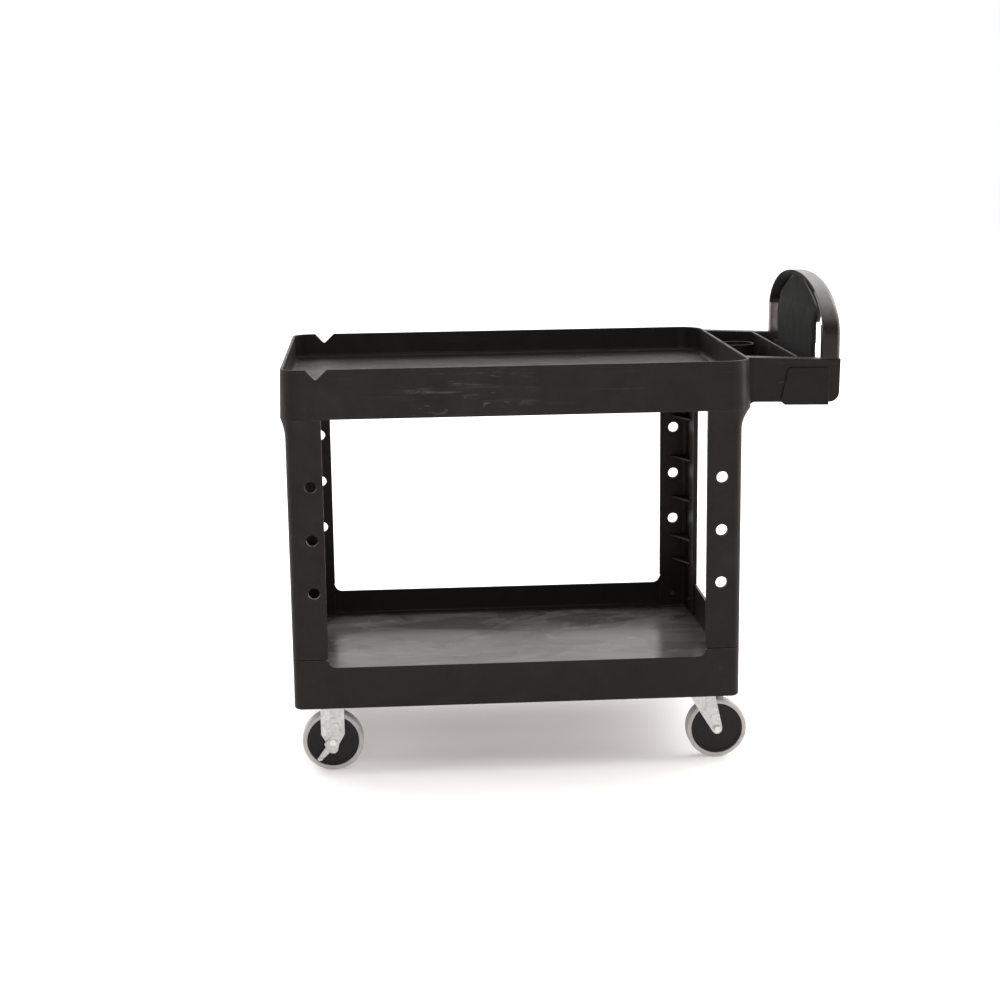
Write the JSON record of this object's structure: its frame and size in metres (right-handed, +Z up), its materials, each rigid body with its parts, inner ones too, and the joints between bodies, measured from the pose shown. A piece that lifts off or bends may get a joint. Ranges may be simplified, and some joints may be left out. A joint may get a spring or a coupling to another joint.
{
  "type": "rolling utility cart",
  "caption": "Moulded utility cart with lipped shelves on angle posts, an arched push handle with storage bins and a cup ring, and rigid and swivel casters.",
  "frame": {"origin": "on the floor, under the centre of the overall box", "axes": "+X along the cart towards the push handle, +Y across it, +Z up"},
  "size_m": [1.1439, 0.6568, 1.0015],
  "materials": {
    "shelf": "near-black moulded structural foam with a fine grain",
    "post": "near-black moulded structural foam with a fine grain",
    "handle": "near-black moulded plastic, worn smooth where hands hold it",
    "holster": "near-black moulded plastic",
    "hub": "near-black moulded plastic",
    "tyre": "light grey thermoplastic rubber tread",
    "bush": "natural nylon",
    "zinc": "bright zinc-plated pressed steel",
    "fastener": "zinc-plated steel"
  },
  "bodies": {
    "frame": {"axle_bolt_left_front": "fastener", "axle_bolt_left_rear": "fastener", "axle_nut_left_front": "fastener", "axle_nut_left_rear": "fastener", "axle_sleeve_left_front": "fastener", "axle_sleeve_left_rear": "fastener", "bottom_shelf": "shelf", "caster_screws": "fastener", "handle_arch": "handle", "handle_screws": "fastener", "holster_front": "holster", "holster_rear": "holster", "kingpin_front": "fastener", "kingpin_rear": "fastener", "leg_front_left": "post", "leg_front_right": "post", "leg_rear_left": "post", "leg_rear_right": "post", "leg_screws_bottom": "fastener", "leg_screws_top": "fastener", "rigid_fork_front": "zinc", "rigid_fork_rear": "zinc", "swivel_balls_front": "fastener", "swivel_balls_rear": "fastener", "swivel_plate_front": "zinc", "swivel_plate_rear": "zinc", "top_shelf": "shelf"},
    "swivel_front": {"swivel_fork_front": "zinc", "axle_bolt_right_front": "fastener", "axle_nut_right_front": "fastener", "axle_sleeve_right_front": "fastener"},
    "wheel_right_front": {"wheel_hub_right_front": "hub", "bearing_bush_right_front": "bush", "tyre_right_front": "tyre"},
    "wheel_left_front": {"wheel_hub_left_front": "hub", "bearing_bush_left_front": "bush", "tyre_left_front": "tyre"},
    "brake_lever_front": {"brake_lever_front": "zinc"},
    "swivel_rear": {"swivel_fork_rear": "zinc", "axle_bolt_right_rear": "fastener", "axle_nut_right_rear": "fastener", "axle_sleeve_right_rear": "fastener"},
    "wheel_right_rear": {"wheel_hub_right_rear": "hub", "bearing_bush_right_rear": "bush", "tyre_right_rear": "tyre"},
    "wheel_left_rear": {"wheel_hub_left_rear": "hub", "bearing_bush_left_rear": "bush", "tyre_left_rear": "tyre"},
    "brake_lever_rear": {"brake_lever_rear": "zinc"}
  },
  "joints": [
    {"name": "swivel_front_turn", "type": "hinge", "parent": "frame", "child": "swivel_front", "pos_m": [0.286, -0.266, 0.1535], "axis": [0, 0, 1], "continuous": true},
    {"name": "wheel_right_front_spin", "type": "hinge", "parent": "swivel_front", "child": "wheel_right_front", "pos_m": [0.3215, -0.266, 0.0635], "axis": [0, 1, 0], "continuous": true},
    {"name": "wheel_left_front_spin", "type": "hinge", "parent": "frame", "child": "wheel_left_front", "pos_m": [-0.4866, -0.266, 0.0635], "axis": [0, 1, 0], "continuous": true},
    {"name": "brake_lever_front_turn", "type": "hinge", "parent": "frame", "child": "brake_lever_front", "pos_m": [-0.4866, -0.2876, 0.0635], "axis": [0, 1, 0], "range_deg": [-10, 24]},
    {"name": "swivel_rear_turn", "type": "hinge", "parent": "frame", "child": "swivel_rear", "pos_m": [0.286, 0.266, 0.1535], "axis": [0, 0, 1], "continuous": true},
    {"name": "wheel_right_rear_spin", "type": "hinge", "parent": "swivel_rear", "child": "wheel_right_rear", "pos_m": [0.3215, 0.266, 0.0635], "axis": [0, 1, 0], "continuous": true},
    {"name": "wheel_left_rear_spin", "type": "hinge", "parent": "frame", "child": "wheel_left_rear", "pos_m": [-0.4866, 0.266, 0.0635], "axis": [0, 1, 0], "continuous": true},
    {"name": "brake_lever_rear_turn", "type": "hinge", "parent": "frame", "child": "brake_lever_rear", "pos_m": [-0.4866, 0.2876, 0.0635], "axis": [0, 1, 0], "range_deg": [-10, 24]}
  ]
}
